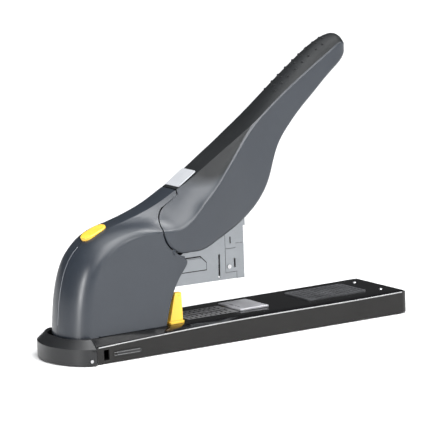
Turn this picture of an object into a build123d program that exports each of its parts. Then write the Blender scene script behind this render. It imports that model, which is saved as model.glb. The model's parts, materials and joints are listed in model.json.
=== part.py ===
from build123d import *
import math
import os

# Heavy-duty office stapler, millimetres. +X runs from the rear cap to the front of the base,
# +Z is up, and the part is symmetric about Y = 0 apart from the side latch and the screws.
# Everything is drawn with Z = 0 at the base's lower rim, and save() lifts it onto its feet.

FOOT_PROUD = 1.0

# Base
BASE_FRONT = 147.6
CAP_REAR = -144.2
CAP_FRONT = -122.0
CAP_START = -124.0
BASE_HALF = 32.5
CAP_HALF = 35.0
WALL = 1.5
WEB_TOP = 11.0
COVER_TOP = 16.5
CORNER = 7.0
NOSE_ROUND = 5.0
HEEL_ROUND = 2.5

# Plan of the rear cap's bow: share of its length, share of its half width
CAP_BOW = [(0.0, 1.0), (0.30, 0.925), (0.575, 0.775), (0.87, 0.44)]

# Long bevel of the base cover: X, width across, height of its outer edge
BEVELS = [(-123, 8.0, 11.2), (-80, 6.4, 12.7), (-20, 4.6, 14.0), (50, 3.4, 14.8), (149, 2.0, 15.3)]

# Fits
GAP = 0.3

# Housing and handle skins
SKIN = 2.2
BODY_HALF = 23.3
HOUSING_REAR = -136.0
HOUSING_ROUND = 17.0
PIVOT = (-39.0, 85.0)
HUB_RADIUS = 18.5
SEAM = 0.5
TONGUE_END = -38.5
OVERCUT = 0.9
BADGE_LIFT = 0.55
STUD_RADIUS = 1.3
STUD_PROUD = 1.0
STUD_PITCH = 6.2

# Crown of the skins: X, crown height, half width of the dark spine, half width at the ridge,
# drop from the crown to the ridge, and how far the flank between them bulges (+) or sags (-).
STATIONS = [
    (-100, 88.2, 7.0, 25.0, 15.0, 7.0),
    (-78, 94.4, 8.0, 24.0, 11.5, 3.0),
    (-60, 100.5, 8.6, 23.5, 16.2, -1.5),
    (-46, 106.0, 9.2, 23.4, 21.8, -4.0),
    (-34, 112.3, 9.6, 23.3, 23.8, -4.5),
    (-22, 120.1, 10.0, 22.6, 19.6, -4.0),
    (-10, 127.7, 10.4, 21.0, 16.0, -3.0),
    (2, 135.4, 10.8, 18.4, 12.4, -1.6),
    (14, 143.5, 11.2, 15.8, 7.7, -0.5),
    (26, 152.6, 11.4, 13.8, 4.6, 0.5),
    (40, 164.2, 11.0, 12.8, 4.3, 0.8),
    (56, 178.2, 9.5, 12.5, 7.4, 1.2),
    (72, 190.8, 8.5, 12.2, 9.8, 1.8),
    (88, 202.0, 8.0, 11.6, 10.7, 2.0),
    (104, 208.9, 7.5, 10.8, 9.2, 2.0),
]
BACK_LINE = [(-136, 16.5), (-133.9, 36), (-130, 55), (-123, 69.2), (-112.6, 80.8)]
FRONT_EDGE = [(-40.6, 64.2), (-38.8, 61), (-40.2, 57.5), (-46.9, 48.5), (-53.4, 35), (-58.3, 16.5)]
NOSE_RELIEF = [
    (-47.5, 68), (-45.6, 65.9), (-43.5, 64.1), (-41.1, 62.8), (-36, 62), (-30, 62), (-30, 75), (-47, 75),
]
HANDLE_LOWER = [
    (-36, 66.8), (-20, 68.6), (3, 78.6), (16.5, 85.8), (25, 91.8), (32, 99), (38, 108.5), (42.5, 120.5),
    (49, 136), (60, 150), (80, 168.4), (98.5, 183.8), (111, 194),
]

# Moving parts inside
BRACKET_IN = 12.6
BRACKET_OUT = 14.4
BRACKET_HUB = 6.5
PIN_RADIUS = 3.0
PIN_PROUD = 2.4
CLIP_RADIUS = 4.8
PIN_CLEAR = 0.05
ARM_PIVOT = (-110.0, 50.0)
ARM_HALF = 10.0
SHEET = 1.2
HEAD_FRONT = 17.4
HEAD_SEAM = 1.6
NOSE_TOP = 62.6
NOSE_FRONT_TOP = 65.8
NOSE_STEP = 10.3
LEVER_OUT = 11.9
LEVER_THICK = 1.4
TONGUE_HALF = 7.0
LEVER_BOSSES = [(60, 164.5), (80, 181)]
ROLLER = (12.5, 103.5)
ROLLER_RADIUS = 5.0
ROLLER_HALF = 8.2
ROLLER_PIN = 2.0
CARRIER_TOP = 97.0

# Button, guide and latch
BUTTON_CENTRE = (-102.2, 87.0)
BUTTON_TILT = 22.3
BUTTON_LENGTH = 20.0
BUTTON_WIDTH = 13.0
BUTTON_PROUD = 0.9
GUIDE_REAR = -54.0
GUIDE_FRONT = -41.5
LATCH_Z = 5.4

# Fasteners: X, Y of the upright ones, X, Z of the ones across, X of the rivets along the arm
BASE_SCREWS = [(-96, -24), (-96, 24), (0, -24), (0, 24), (112, -24), (112, 24)]
BRACKET_BOLTS = [(-110, -8), (-110, 8), (-70, -8), (-70, 8)]
HOUSING_SCREWS = [(-112, 32), (-72, 32), (-84, 72)]
TAB_RIVETS = (-72, -46)

os.makedirs("parts", exist_ok=True)


def save(name, *solids):
    """Writes one node, lifted so that the feet stand on Z = 0."""
    shape = Compound(children=[s for group in solids for s in group.solids()])
    export_step(shape.moved(Location((0, 0, FOOT_PROUD))), f"parts/{name}.step")


def box(x, y, z):
    """Box from three (low, high) pairs."""
    size = [high - low for low, high in (x, y, z)]
    middle = [(high + low) / 2 for low, high in (x, y, z)]
    return Pos(*middle) * Box(*size)


def slab(face, y_low, y_high):
    """Solid with the given side outline (local x, y are X, Z), between two Y values."""
    return extrude(Plane.XZ.offset(-y_high) * face, amount=y_high - y_low)


def plate(points, y_low, y_high):
    """slab() of a polygon."""
    return slab(make_face(Polyline(*points, close=True)), y_low, y_high)


def tray(face, z_low, z_high):
    """Solid with the given plan outline, between two heights."""
    return extrude(Pos(0, 0, z_low) * face, amount=z_high - z_low)


def pin_y(centre, radius, y_low, y_high):
    """Round bar along Y."""
    return slab(Pos(*centre) * Circle(radius), y_low, y_high)


def pin_z(x, y, radius, z_low, z_high):
    """Round bar along Z."""
    return tray(Pos(x, y) * Circle(radius), z_low, z_high)


def mirrored(solid):
    """The same solid on the other side of Y = 0."""
    return mirror(solid, Plane.XZ)


def both(solid):
    """A solid and its mirror image, as one group."""
    return Compound(children=[solid, mirrored(solid)])


def coil(radius, wire, height, turns):
    """Compression spring standing on Z = 0 about the Z axis."""
    path = Helix(pitch=height / turns, height=height, radius=radius)
    profile = Plane(origin=path @ 0, z_dir=path % 0) * Circle(wire / 2)
    return sweep(profile, path=path)


def inset(points, distance):
    """Open line moved square to itself, to the right of its direction."""
    moved = []
    for i, (x, z) in enumerate(points):
        before = points[max(i - 1, 0)]
        after = points[min(i + 1, len(points) - 1)]
        dx, dz = after[0] - before[0], after[1] - before[1]
        size = math.hypot(dx, dz)
        moved.append((x + dz / size * distance, z - dx / size * distance))
    return moved


# Base ------------------------------------------------------------------------------------------

def base_plan(edge):
    """Plan of the long base, drawn in by edge."""
    back, front, half = CAP_FRONT + GAP, BASE_FRONT - edge, BASE_HALF - edge
    corner = max(CORNER - edge, 0.5)
    outline = Polyline((front - corner, half), (back, half), (back, -half), (front - corner, -half))
    bow = [
        JernArc((front - corner, -half), (1, 0), corner, 90),
        Line((front, corner - half), (front, half - corner)),
        JernArc((front, half - corner), (0, 1), corner, 90),
    ]
    return make_face(Curve() + [outline] + bow)


def wall_arch():
    """Side view under the wall's gently arched upper edge."""
    front = (BASE_FRONT + 1, 15.6)
    rear = (CAP_FRONT, 11.3)
    crest = Spline(front, (95, 15.0), (40, 15.1), (-30, 14.5), (-80, 13.0), rear)
    sides = Polyline(rear, (CAP_FRONT, 0), (BASE_FRONT + 1, 0), front)
    return make_face(Curve() + [crest, sides])


def front_nose():
    """Block as long as the base, with its front rounded over and its heel eased."""
    outline = [
        Polyline((BASE_FRONT - NOSE_ROUND, COVER_TOP), (CAP_FRONT - 1, COVER_TOP),
                 (CAP_FRONT - 1, 0), (BASE_FRONT - HEEL_ROUND, 0)),
        JernArc((BASE_FRONT - HEEL_ROUND, 0), (1, 0), HEEL_ROUND, 90),
        Line((BASE_FRONT, HEEL_ROUND), (BASE_FRONT, COVER_TOP - NOSE_ROUND)),
        JernArc((BASE_FRONT, COVER_TOP - NOSE_ROUND), (0, 1), NOSE_ROUND, 90),
    ]
    return slab(make_face(Curve() + outline), -BASE_HALF - 1, BASE_HALF + 1)


def base_channel():
    """Steel channel: arched walls round a web that everything is fastened to."""
    walls = tray(base_plan(0), 0, COVER_TOP) - tray(base_plan(WALL), -1, COVER_TOP + 1)
    walls -= box((CAP_FRONT, CAP_FRONT + 4), (-BASE_HALF + WALL, BASE_HALF - WALL), (-1, COVER_TOP + 1))
    walls &= slab(wall_arch(), -BASE_HALF - 1, BASE_HALF + 1)
    web = tray(base_plan(WALL / 2), WEB_TOP - WALL, WEB_TOP)
    shape = (walls + web) & front_nose()
    shape -= box((-116.4, -112), (-BASE_HALF - 1, -BASE_HALF + WALL + 1), (1.8, 9.2))
    shape -= box((-103.6, -91.4), (-BASE_HALF - 1, -BASE_HALF + WALL + 1), (LATCH_Z - 0.9, LATCH_Z + 0.9))
    for x, y in BRACKET_BOLTS:
        shape -= pin_z(x, y, 1.6, 0, WEB_TOP + 1)
    return shape


def cover_bevel():
    """Wedge that cuts the cover's long bevel: wide at the rear, narrow at the front."""
    sections = []
    wall = BASE_HALF - WALL
    over = COVER_TOP + 3
    for x, width, low in BEVELS:
        inner = wall - width
        wedge = Polyline((inner, COVER_TOP), (wall + 1, low), (wall + 1, over), (inner, over), close=True)
        sections.append(Plane((x, 0, 0), x_dir=(0, 1, 0), z_dir=(1, 0, 0)) * make_face(wedge))
    return loft(sections)


def base_cover():
    """Moulded top cover, with openings for the bracket, the scale and the guide's tongue."""
    edge = WALL + 0.15
    shape = tray(base_plan(edge), WEB_TOP, COVER_TOP) & front_nose()
    shape -= tray(base_plan(edge + 9), WEB_TOP - 1, COVER_TOP - 2.5)
    bevel = cover_bevel()
    shape -= bevel
    shape -= mirrored(bevel)
    shape -= box((-123, -62), (-19, 19), (0, COVER_TOP + 1))
    shape -= box((-62, 8.2), (-2.2, 2.2), (0, COVER_TOP + 1))
    shape -= box((-34.2, 9.2), (-14.2, 14.2), (COVER_TOP - 0.7, COVER_TOP + 1))
    for side in (-1, 1):
        shape -= pin_z(133, 16.8 * side, 1.5, 0, COVER_TOP + 1)
    return shape


def cap_plan(edge):
    """Plan of the rounded rear cap, drawn in by edge."""
    rear, half = CAP_REAR + edge, CAP_HALF - edge
    long = CAP_START - rear
    near = [(CAP_START - long * reach, -half * spread) for reach, spread in CAP_BOW]
    far = [(x, -y) for x, y in reversed(near)]
    bow = Spline(*near, (rear, 0), *far)
    side = Polyline(far[-1], (CAP_FRONT, half - 1.8), (CAP_FRONT, -half + 1.8), near[0])
    return make_face(Curve() + [bow, side])


def rear_cap():
    """Moulded cap round the rear of the base, with a chamfered shoulder up to the housing."""
    shoulder = loft([Pos(0, 0, 11.3) * cap_plan(0), Pos(0, 0, COVER_TOP + 0.6) * cap_plan(6.5)])
    shape = tray(cap_plan(0), 0, 11.3) + shoulder
    shape -= tray(cap_plan(WALL + 1), -1, 9)
    shape -= housing_block(GAP, 12.5)
    for side in (-1, 1):
        shape -= box((-134.6, -123.2), (side * 35.5 - 1.6, side * 35.5 + 1.6), (9.6, 10.3))
        shape -= pin_y((-127.3, 3), 1.25, side * 33 - 4, side * 33 + 4)
    return shape


def cap_rivets():
    """Small bright rivets that hold the cap to the base's ends."""
    rivet = pin_y((-127.3, 3), 1.2, 29, 34.6) + pin_y((-127.3, 3), 2.0, 28.4, 29.5)
    return both(rivet)


def base_plate():
    """Bottom plate, screwed up into the channel."""
    edge = WALL + GAP
    shape = tray(base_plan(edge), 0.6, 1.8)
    shape -= box((CAP_FRONT - 1, CAP_FRONT + 3), (-BASE_HALF, BASE_HALF), (0, 3))
    for x, y in BASE_SCREWS:
        shape -= pin_z(x, y, 1.6, 0, 3)
    return shape


def base_screws():
    """Screws up through the bottom plate into bosses under the web."""
    screws = []
    for x, y in BASE_SCREWS:
        screws.append(pin_z(x, y, 1.5, 0.6, 9.4) + pin_z(x, y, 3.0, -0.4, 0.6))
    return Compound(children=screws)


def rubber_feet():
    """Round feet, a little proud of the rim."""
    feet = []
    for x in (-108, 130):
        for y in (-22, 22):
            feet.append(pin_z(x, y, 7, -FOOT_PROUD, 0.6))
    return Compound(children=feet)


def front_rivets():
    """Domed rivets through the front of the cover and the web."""
    rivets = []
    for side in (-1, 1):
        dome = Pos(133, 16.8 * side, COVER_TOP - 1.2) * Sphere(2.1)
        dome &= box((125, 140), (-25, 25), (COVER_TOP, COVER_TOP + 3))
        rivets.append(dome + pin_z(133, 16.8 * side, 1.4, WEB_TOP, COVER_TOP + 0.5))
    return Compound(children=rivets)


def grip_pad():
    """Grid-patterned pad on the front of the base."""
    shape = box((68.5, 120.5), (-17, 17), (COVER_TOP, COVER_TOP + 0.9))
    shape = fillet(shape.edges().filter_by(Axis.Z), 2.5)
    for i in range(12):
        x = 72.2 + i * 4.05
        shape -= box((x, x + 0.9), (-16, 16), (COVER_TOP + 0.4, COVER_TOP + 1))
    for i in range(7):
        y = -12.6 + i * 4.05
        shape -= box((69.5, 119.5), (y, y + 0.9), (COVER_TOP + 0.4, COVER_TOP + 1))
    return shape


def anvil_plate():
    """Steel anvil with two clinching grooves."""
    shape = box((9.6, 34), (-15, 15), (COVER_TOP, COVER_TOP + 1.7))
    shape = chamfer(shape.edges().group_by(Axis.Z)[-1], 0.5)
    for y in (-4, 4):
        shape -= Pos(13.6, y, COVER_TOP + 2.4) * Box(2.2, 7, 2.4)
    return shape


def scale_plate():
    """Slotted scale for the paper guide, let into the cover."""
    shape = box((-34, 9), (-14, 14), (COVER_TOP - 0.7, COVER_TOP))
    shape -= box((-35, 7), (-2.2, 2.2), (0, COVER_TOP + 1))
    for i in range(9):
        x = -31 + i * 4.2
        for y in (-10.6, -5.4, 5.4, 10.6):
            shape -= box((x, x + 1.8), (y - 1.7, y + 1.7), (0, COVER_TOP + 1))
    return shape


# Housing ---------------------------------------------------------------------------------------

def crown(last):
    """Crown points of the stations up to index last."""
    return [(x, z) for x, z, *_ in STATIONS[:last]]


def flank_tool(drop=0.0, inward=0.0):
    """Wedge outside the flank between the spine and the ridge, on the +Y side."""
    sections = []
    for x, top, spine, ridge, fall, bulge in STATIONS:
        low = (ridge - inward + OVERCUT, top - fall - drop - OVERCUT / 2)
        high = (spine - inward - OVERCUT / 2, top - drop + OVERCUT / 2)
        middle = ((low[0] + high[0] + bulge * 1.3) / 2, (low[1] + high[1] + bulge * 1.3) / 2)
        flank = ThreePointArc(high, middle, low)
        rim = Polyline(low, (45, low[1] - 4), (45, top + 25), (high[0], top + 25), high)
        face = make_face(Curve() + [flank, rim])
        sections.append(Plane((x, 0, 0), x_dir=(0, 1, 0), z_dir=(1, 0, 0)) * face)
    return loft(sections)


def housing_side(inside):
    """Side outline of the housing, or of the hollow inside it."""
    back = BACK_LINE + crown(5)[1:]
    if inside:
        points = inset(back, SKIN)
        line = Spline(*points)
        start, end = points[0], points[-1]
        return make_face(Curve() + [line, Polyline(end, (20, end[1]), (20, 0), (start[0], 0), start)])
    line = Spline(*back)
    front = Polyline(back[-1], PIVOT, FRONT_EDGE[0])
    nose = Spline(*FRONT_EDGE)
    foot = Line(FRONT_EDGE[-1], back[0])
    return make_face(Curve() + [line, front, nose, foot])


def rounded_slab(face, half, radius):
    """slab() from Y = 0 to half, with its long upper and rear edge rounded."""
    solid = slab(face, 0, half)
    outer = [e for e in solid.edges() if e.center().Y > half - 0.1 and e.center().Z > 30]
    edges = [e for e in outer if e.length > 140]
    return fillet(edges, radius)


def largest(shape):
    """The biggest solid of a cut shape, without its loose slivers."""
    return max(shape.solids(), key=lambda s: s.volume)


def housing_block(clear, height):
    """Housing's footprint as a solid block, grown by clear and standing from height up."""
    rear, half = HOUSING_REAR - clear, BODY_HALF + clear
    points = [(-60, half), (rear + HOUSING_ROUND, half), (rear + HOUSING_ROUND, -half), (-60, -half)]
    middle = make_face(Polyline(*points, close=True))
    rear_end = Pos(rear + HOUSING_ROUND, 0) * Rectangle(2 * HOUSING_ROUND, 2 * half)
    rear_end = fillet(rear_end.vertices(), HOUSING_ROUND - 0.1)
    return tray(middle + rear_end, height, height + 40)


def hub_gap():
    """Room that the housing leaves for the handle's round hub."""
    return pin_y(PIVOT, HUB_RADIUS + SEAM, -BODY_HALF - 2, BODY_HALF + 2)


def housing_skin():
    """Skin of the housing's +Y half."""
    outer = rounded_slab(housing_side(False), BODY_HALF, HOUSING_ROUND) - flank_tool()
    inner = rounded_slab(housing_side(True), BODY_HALF - SKIN, HOUSING_ROUND - SKIN)
    inner -= flank_tool(SKIN, SKIN)
    skin = outer - inner
    skin -= hub_gap()
    skin -= plate(NOSE_RELIEF, -1, BODY_HALF + 1)
    skin -= box((TONGUE_END, 40), (-1, 40), (66, 200))
    skin -= button_prism(BUTTON_LENGTH + 0.7, BUTTON_WIDTH + 0.7, -12, 8)
    return largest(skin)


def housing_halves():
    """Left shell with the screws' counterbores, and right shell with blind bosses."""
    left = housing_skin()
    for centre in HOUSING_SCREWS:
        left += pin_y(centre, 3.4, BRACKET_OUT + 0.2, BODY_HALF - 1)
    right = mirrored(left)
    for centre in HOUSING_SCREWS:
        left -= pin_y(centre, 3.0, BODY_HALF - 1.6, BODY_HALF + 1)
        left -= pin_y(centre, 1.6, BRACKET_OUT, BODY_HALF)
        right -= pin_y(centre, 1.6, -BODY_HALF + 1.5, -BRACKET_OUT + 1)
    return left, right


def housing_screws():
    """Screws from the far side through both shells and the bracket."""
    screws = []
    for x, z in HOUSING_SCREWS:
        head = pin_y((x, z), 2.8, BODY_HALF - 1.6, BODY_HALF - 0.2)
        shank = pin_y((x, z), 1.5, -BODY_HALF + 1.6, BODY_HALF - 1.6)
        cross = box((x - 2, x + 2), (BODY_HALF - 0.8, BODY_HALF), (z - 0.4, z + 0.4))
        screws.append(head + shank - cross)
    return Compound(children=screws)


def pivot_bracket():
    """Upright steel bracket that carries the arm pivot and the handle pivot."""
    outline = [
        (-118, WEB_TOP), (-64, WEB_TOP), (-62, 38), (-47, 66), (-34, 81), (-39, 91), (-46, 86),
        (-60, 82), (-75, 81), (-100, 76), (-114, 66),
    ]
    cheek = plate(outline, BRACKET_IN, BRACKET_OUT) + pin_y(PIVOT, BRACKET_HUB, BRACKET_IN, BRACKET_OUT)
    cheek -= pin_y(PIVOT, PIN_RADIUS + PIN_CLEAR, 0, 30)
    cheek -= pin_y(ARM_PIVOT, PIN_RADIUS + PIN_CLEAR, 0, 30)
    for centre in HOUSING_SCREWS:
        cheek -= pin_y(centre, 1.7, 0, 30)
    floor = box((-118, -62), (-BRACKET_IN, BRACKET_IN), (WEB_TOP, WEB_TOP + 2))
    for x, y in BRACKET_BOLTS:
        floor -= pin_z(x, y, 1.6, 0, 20)
    floor -= pin_z(-80, 0, 3, 0, 20)
    bridge = box((-108, -88), (-BRACKET_IN, BRACKET_IN), (64, 66))
    bridge -= pin_z(-93.2, 0, 2.7, 60, 70)
    return cheek + mirrored(cheek) + floor + bridge


def bracket_bolts():
    """Bolts that hold the bracket's floor to the web."""
    bolts = []
    for x, y in BRACKET_BOLTS:
        head = tray(Pos(x, y) * RegularPolygon(3.0, 6), WEB_TOP + 2, WEB_TOP + 4.2)
        bolts.append(head + pin_z(x, y, 1.5, WEB_TOP - 4, WEB_TOP + 2))
    return Compound(children=bolts)


def pivot_pin(centre):
    """Pivot pin with clip grooves at both ends."""
    shape = pin_y(centre, PIN_RADIUS, -BRACKET_OUT - PIN_PROUD, BRACKET_OUT + PIN_PROUD)
    for side in (-1, 1):
        middle = side * (BRACKET_OUT + 1.0)
        groove = pin_y(centre, PIN_RADIUS + 1, middle - 0.5, middle + 0.5)
        shape -= groove - pin_y(centre, PIN_RADIUS - 0.8, -30, 30)
    return shape


def pivot_clips():
    """Snap clips in the grooves of both pins."""
    clips = []
    for x, z in (PIVOT, ARM_PIVOT):
        ring = pin_y((x, z), CLIP_RADIUS, BRACKET_OUT + 0.6, BRACKET_OUT + 1.4)
        ring -= pin_y((x, z), PIN_RADIUS - 0.7, 0, 30)
        ring -= box((x - 1.6, x + 1.6), (0, 30), (z - 9, z))
        clips += [ring, mirrored(ring)]
    return Compound(children=clips)


def arm_return_spring():
    """Spring that lifts the magazine arm off the paper."""
    return Pos(-80, 0, WEB_TOP + 2.8) * coil(6.5, 1.3, 25.0, 6)


def handle_spring():
    """Torsion spring round the handle's pivot pin."""
    body = Pos(PIVOT[0], 8.4, PIVOT[1]) * Rot(90, 0, 0) * coil(6.4, 1.5, 14.5, 6)
    return body


# Handle ----------------------------------------------------------------------------------------

def handle_side(inside):
    """Side outline of the handle, or of the hollow inside it."""
    top = [(x, z) for x, z, *_ in STATIONS[3:]]
    if inside:
        points = inset(top, SKIN)[:-1]
        tip = Polyline(points[-1], (102, 205.2), (108, 200.5), (106, 193))
        rim = Polyline((106, 193), (125, 170), (60, 40), (-80, 40), (-80, points[0][1]), points[0])
        return make_face(Curve() + [Spline(*points), tip, rim])
    tip = Spline(top[-1], (110.6, 208.3), (114, 203.6), HANDLE_LOWER[-1], tangents=[(1, 0.25), (-0.8, -0.9)])
    lower = Spline(*reversed(HANDLE_LOWER))
    rear = Polyline(HANDLE_LOWER[0], (-70, 66.8), (-70, top[0][1]), top[0])
    return make_face(Curve() + [Spline(*top), tip, lower, rear])


def taper_plan(edge):
    """Plan of the handle: full width at the hub, narrowing to the grip."""
    flare = [(x, half - edge) for x, _, _, half, *_ in STATIONS[4:]]
    flare[0] = (flare[0][0], BODY_HALF - edge)
    near = Spline(*flare)
    far = Spline(*[(x, -y) for x, y in flare])
    tip_x = 114.8 - edge
    last_x, last_y = flare[-1]
    shoulder = last_y * 0.7
    bow = [(tip_x - 1.2, shoulder), (tip_x, 0), (tip_x - 1.2, -shoulder)]
    end = Spline((last_x, last_y), *bow, (last_x, -last_y))
    hub = Polyline((flare[0][0], -flare[0][1]), (-75, -flare[0][1]), (-75, flare[0][1]), flare[0])
    return make_face(Curve() + [near, end, far, hub])


def hub_round():
    """Everything that may be handle: the round hub and all that is ahead of it."""
    hub = pin_y(PIVOT, HUB_RADIUS, -BODY_HALF - 1, BODY_HALF + 1)
    return hub + box((PIVOT[0], 150), (-30, 30), (60, 220))


def handle_skin():
    """Skin of the handle's +Y half."""
    outer = (slab(handle_side(False), 0, 30) & tray(taper_plan(0), 50, 220)) - flank_tool()
    inner = (slab(handle_side(True), -1, 30) & tray(taper_plan(SKIN), 30, 220)) - flank_tool(SKIN, SKIN)
    skin = (outer - inner) & hub_round()
    skin -= box((-80, TONGUE_END + SEAM), (-1, 9.8), (98, 200))
    return largest(skin)


def cover_region():
    """Region of the black top cover: the spine, and the whole top of the grip."""
    spine = [(x, half) for x, _, half, *_ in STATIONS[3:9]]
    near = Spline(*spine, (28, 13.6), (40, 14.0))
    far = Spline(*[(x, -y) for x, y in spine], (28, -13.6), (40, -14.0))
    ends = [
        Polyline((40, 14.0), (130, 14.0), (130, -14.0), (40, -14.0)),
        Line((spine[0][0], spine[0][1]), (spine[0][0], -spine[0][1])),
    ]
    plan = tray(make_face(Curve() + [near, far] + ends), 60, 230)
    ridge = [(x, top - fall) for x, top, _, _, fall, _ in STATIONS[8:]]
    beyond = (130, ridge[-1][1] + 4)
    floor = Polyline(ridge[-1], beyond, (130, 240), (-60, 240), (-60, 90), (-30, 100), ridge[0])
    over = slab(make_face(Curve() + [Spline(*ridge), floor]), -30, 30)
    return plan & over


def grip_stud(x, y):
    """Small round stud on the grip, square to the crown line."""
    x0, z0 = [station[:2] for station in STATIONS if station[0] <= x][-1]
    x1, z1 = [station[:2] for station in STATIONS if station[0] > x][0]
    z = z0 + (z1 - z0) * (x - x0) / (x1 - x0)
    slope = math.degrees(math.atan2(z1 - z0, x1 - x0))
    return Pos(x, y, z) * Rot(0, -slope, 0) * Cylinder(STUD_RADIUS, 2 * STUD_PROUD)


def handle_parts():
    """Black top cover and the two grey side shells."""
    skin = handle_skin()
    region = cover_region()
    cover = largest(skin & region)
    cover += mirrored(cover)
    for row in range(7):
        for y in (-5.2, 0, 5.2):
            cover += grip_stud(52 + row * STUD_PITCH + abs(y) * 0.35, y)
    left = largest(skin - region)
    left -= pin_y(PIVOT, BRACKET_HUB + 0.5, 0, BRACKET_OUT + 0.4)
    left -= pin_y(PIVOT, CLIP_RADIUS + 0.4, 0, BRACKET_OUT + PIN_PROUD + 0.4)
    for centre in LEVER_BOSSES:
        left += pin_y(centre, 3, TONGUE_HALF, 11)
    return cover, left, mirrored(left)


def badge_plate():
    """Plain bright plate on the handle's crown, just ahead of the joint."""
    (x0, z0), (x1, z1) = (-35.6, 111.6), (-20.5, 121.4)
    slope = math.degrees(math.atan2(z1 - z0, x1 - x0))
    length = math.hypot(x1 - x0, z1 - z0)
    sheet = Box(length, 17.5, 0.8)
    sheet = fillet(sheet.edges().filter_by(Axis.Z), 1.2)
    return Pos((x0 + x1) / 2, 0, (z0 + z1) / 2 + BADGE_LIFT) * Rot(0, -slope, 0) * sheet


def handle_lever():
    """Steel lever inside the handle: two cheeks, a bridge and a tongue up the grip."""
    hub = Pos(*PIVOT) * Circle(8.5)
    nose = Pos(*ROLLER) * Circle(5.5)
    outline = [(-41, 76.8), (8, 99.5), (17.5, 105.5), (10, 109), (-12, 101.5), (-41, 93.2)]
    body = make_face(Polyline(*outline, close=True))
    cheek = slab(hub + nose + body, LEVER_OUT - LEVER_THICK, LEVER_OUT)
    cheek -= pin_y(PIVOT, PIN_RADIUS + PIN_CLEAR, 0, 30)
    cheek -= pin_y(ROLLER, ROLLER_PIN + PIN_CLEAR, 0, 30)
    bridge = plate([(-12, 99), (8, 106.5), (8, 115), (-12, 106)], -LEVER_OUT, LEVER_OUT)
    tongue = [(8, 109), (40, 146), (92, 188), (92, 191.5), (38, 150.5), (2, 112.2)]
    return cheek + mirrored(cheek) + bridge + plate(tongue, -TONGUE_HALF, TONGUE_HALF)


def roller_pin():
    """Pin that the press roller turns on."""
    return pin_y(ROLLER, ROLLER_PIN, -LEVER_OUT, LEVER_OUT)


def press_roller():
    """Roller that bears on the driver's carrier."""
    roller = pin_y(ROLLER, ROLLER_RADIUS, -ROLLER_HALF, ROLLER_HALF)
    return roller - pin_y(ROLLER, ROLLER_PIN + PIN_CLEAR, -ROLLER_HALF - 1, ROLLER_HALF + 1)


# Magazine arm ----------------------------------------------------------------------------------

def arm_sheet():
    """Side outline of the arm's steel cheek."""
    points = [
        (-118, 41.8), (10.7, 40.3), (10.7, 45.2), (HEAD_SEAM - GAP, 45.2), (HEAD_SEAM - GAP, 86.4),
        (-8, 86.4), (-8, 77), (-36, 63.2), (-118, 61.2),
    ]
    return points


def arm_channel():
    """Folded steel arm: two cheeks joined by a web, open below for the magazine."""
    cheek = plate(arm_sheet(), ARM_HALF - SHEET, ARM_HALF)
    cheek -= plate([(-4.9, 42.2), (-3.4, 42.2), (-3.2, 59.4), (-4.6, 59.4)], 0, 20)
    cheek -= pin_y(ARM_PIVOT, PIN_RADIUS + PIN_CLEAR, 0, 30)
    web = box((-103, -0.2), (-ARM_HALF, ARM_HALF), (60, 61.2))
    for x in TAB_RIVETS:
        cheek -= pin_y((x, 55), 1.5, 0, 30)
    return cheek + mirrored(cheek) + web


def arm_side_tabs():
    """Stiffening straps on the outside of the arm, with clipped front corners."""
    outline = [(-82, 50.6), (-15.6, 50.2), (-15.6, 55), (-20.4, 59.6), (-82, 59.6)]
    strap = plate(outline, ARM_HALF, ARM_HALF + 0.8)
    strap -= plate([(-83, 58.8), (-19.8, 58.8), (-19.8, 60), (-83, 60)], ARM_HALF + 0.4, ARM_HALF + 1)
    for x in TAB_RIVETS:
        strap -= pin_y((x, 55), 1.5, 0, 30)
    return both(strap)


def tab_rivets():
    """Rivets through the straps and the arm."""
    rivets = []
    for x in TAB_RIVETS:
        shank = pin_y((x, 55), 1.4, ARM_HALF - 1.6, ARM_HALF + 0.8)
        rivets.append(shank + pin_y((x, 55), 2.4, ARM_HALF + 0.8, ARM_HALF + 1.5))
    return Compound(children=rivets + [mirrored(r) for r in rivets])


def spring_bridge():
    """Cross plate under the arm that the return spring pushes on."""
    return box((-88, -72), (-ARM_HALF, ARM_HALF), (39.6, 41.2)) - pin_z(-80, 0, 3, 30, 50)


def head_front():
    """Folded front of the head, above the nose, slotted for the driver's tab."""
    points = [
        (HEAD_SEAM, NOSE_TOP + GAP), (NOSE_STEP, NOSE_TOP + GAP), (NOSE_STEP, NOSE_FRONT_TOP + GAP),
        (HEAD_FRONT, NOSE_FRONT_TOP + GAP), (HEAD_FRONT, 86.4), (HEAD_SEAM, 86.4),
    ]
    shape = plate(points, -ARM_HALF, ARM_HALF)
    shape -= box((HEAD_SEAM - 1, HEAD_FRONT - SHEET), (-ARM_HALF + SHEET, ARM_HALF - SHEET), (50, 100))
    shape -= box((HEAD_FRONT - 3, HEAD_FRONT + 1), (-6.6, 6.6), (50, 100))
    shape -= box((5.4, 6.4), (-20, 20), (66.4, 71.2))
    tie = box((HEAD_SEAM + 0.2, HEAD_SEAM + 0.5), (-ARM_HALF + SHEET, ARM_HALF - SHEET), (63, 65.4))
    return shape + tie


def magazine_catch():
    """Sprung hook on the arm's web that holds the magazine in."""
    return box((-103.4, -90), (-4, 4), (61.2, 62.2)) + box((-104.6, -103.4), (-4, 4), (47, 62.2))


# Driver ----------------------------------------------------------------------------------------

def driver_carrier():
    """Sliding block that the press roller drives down."""
    block = box((2.6, 15.6), (-8.2, 8.2), (71, CARRIER_TOP))
    ledge = box((-6, 2.6), (-5, 5), (80, 84))
    tab = box((15.6, 21.7), (-6, 6), (77.4, 95))
    block -= box((4.6, 11.4), (-6, 6), (72.5, CARRIER_TOP - 3))
    return block + ledge + tab


def driver_blade():
    """Hardened blade that pushes the front staple out."""
    return box((15.6, 16.1), (-6.2, 6.2), (57.2, 77.2)) + box((12.4, 15.6), (-6.2, 6.2), (66.6, 71))


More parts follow.
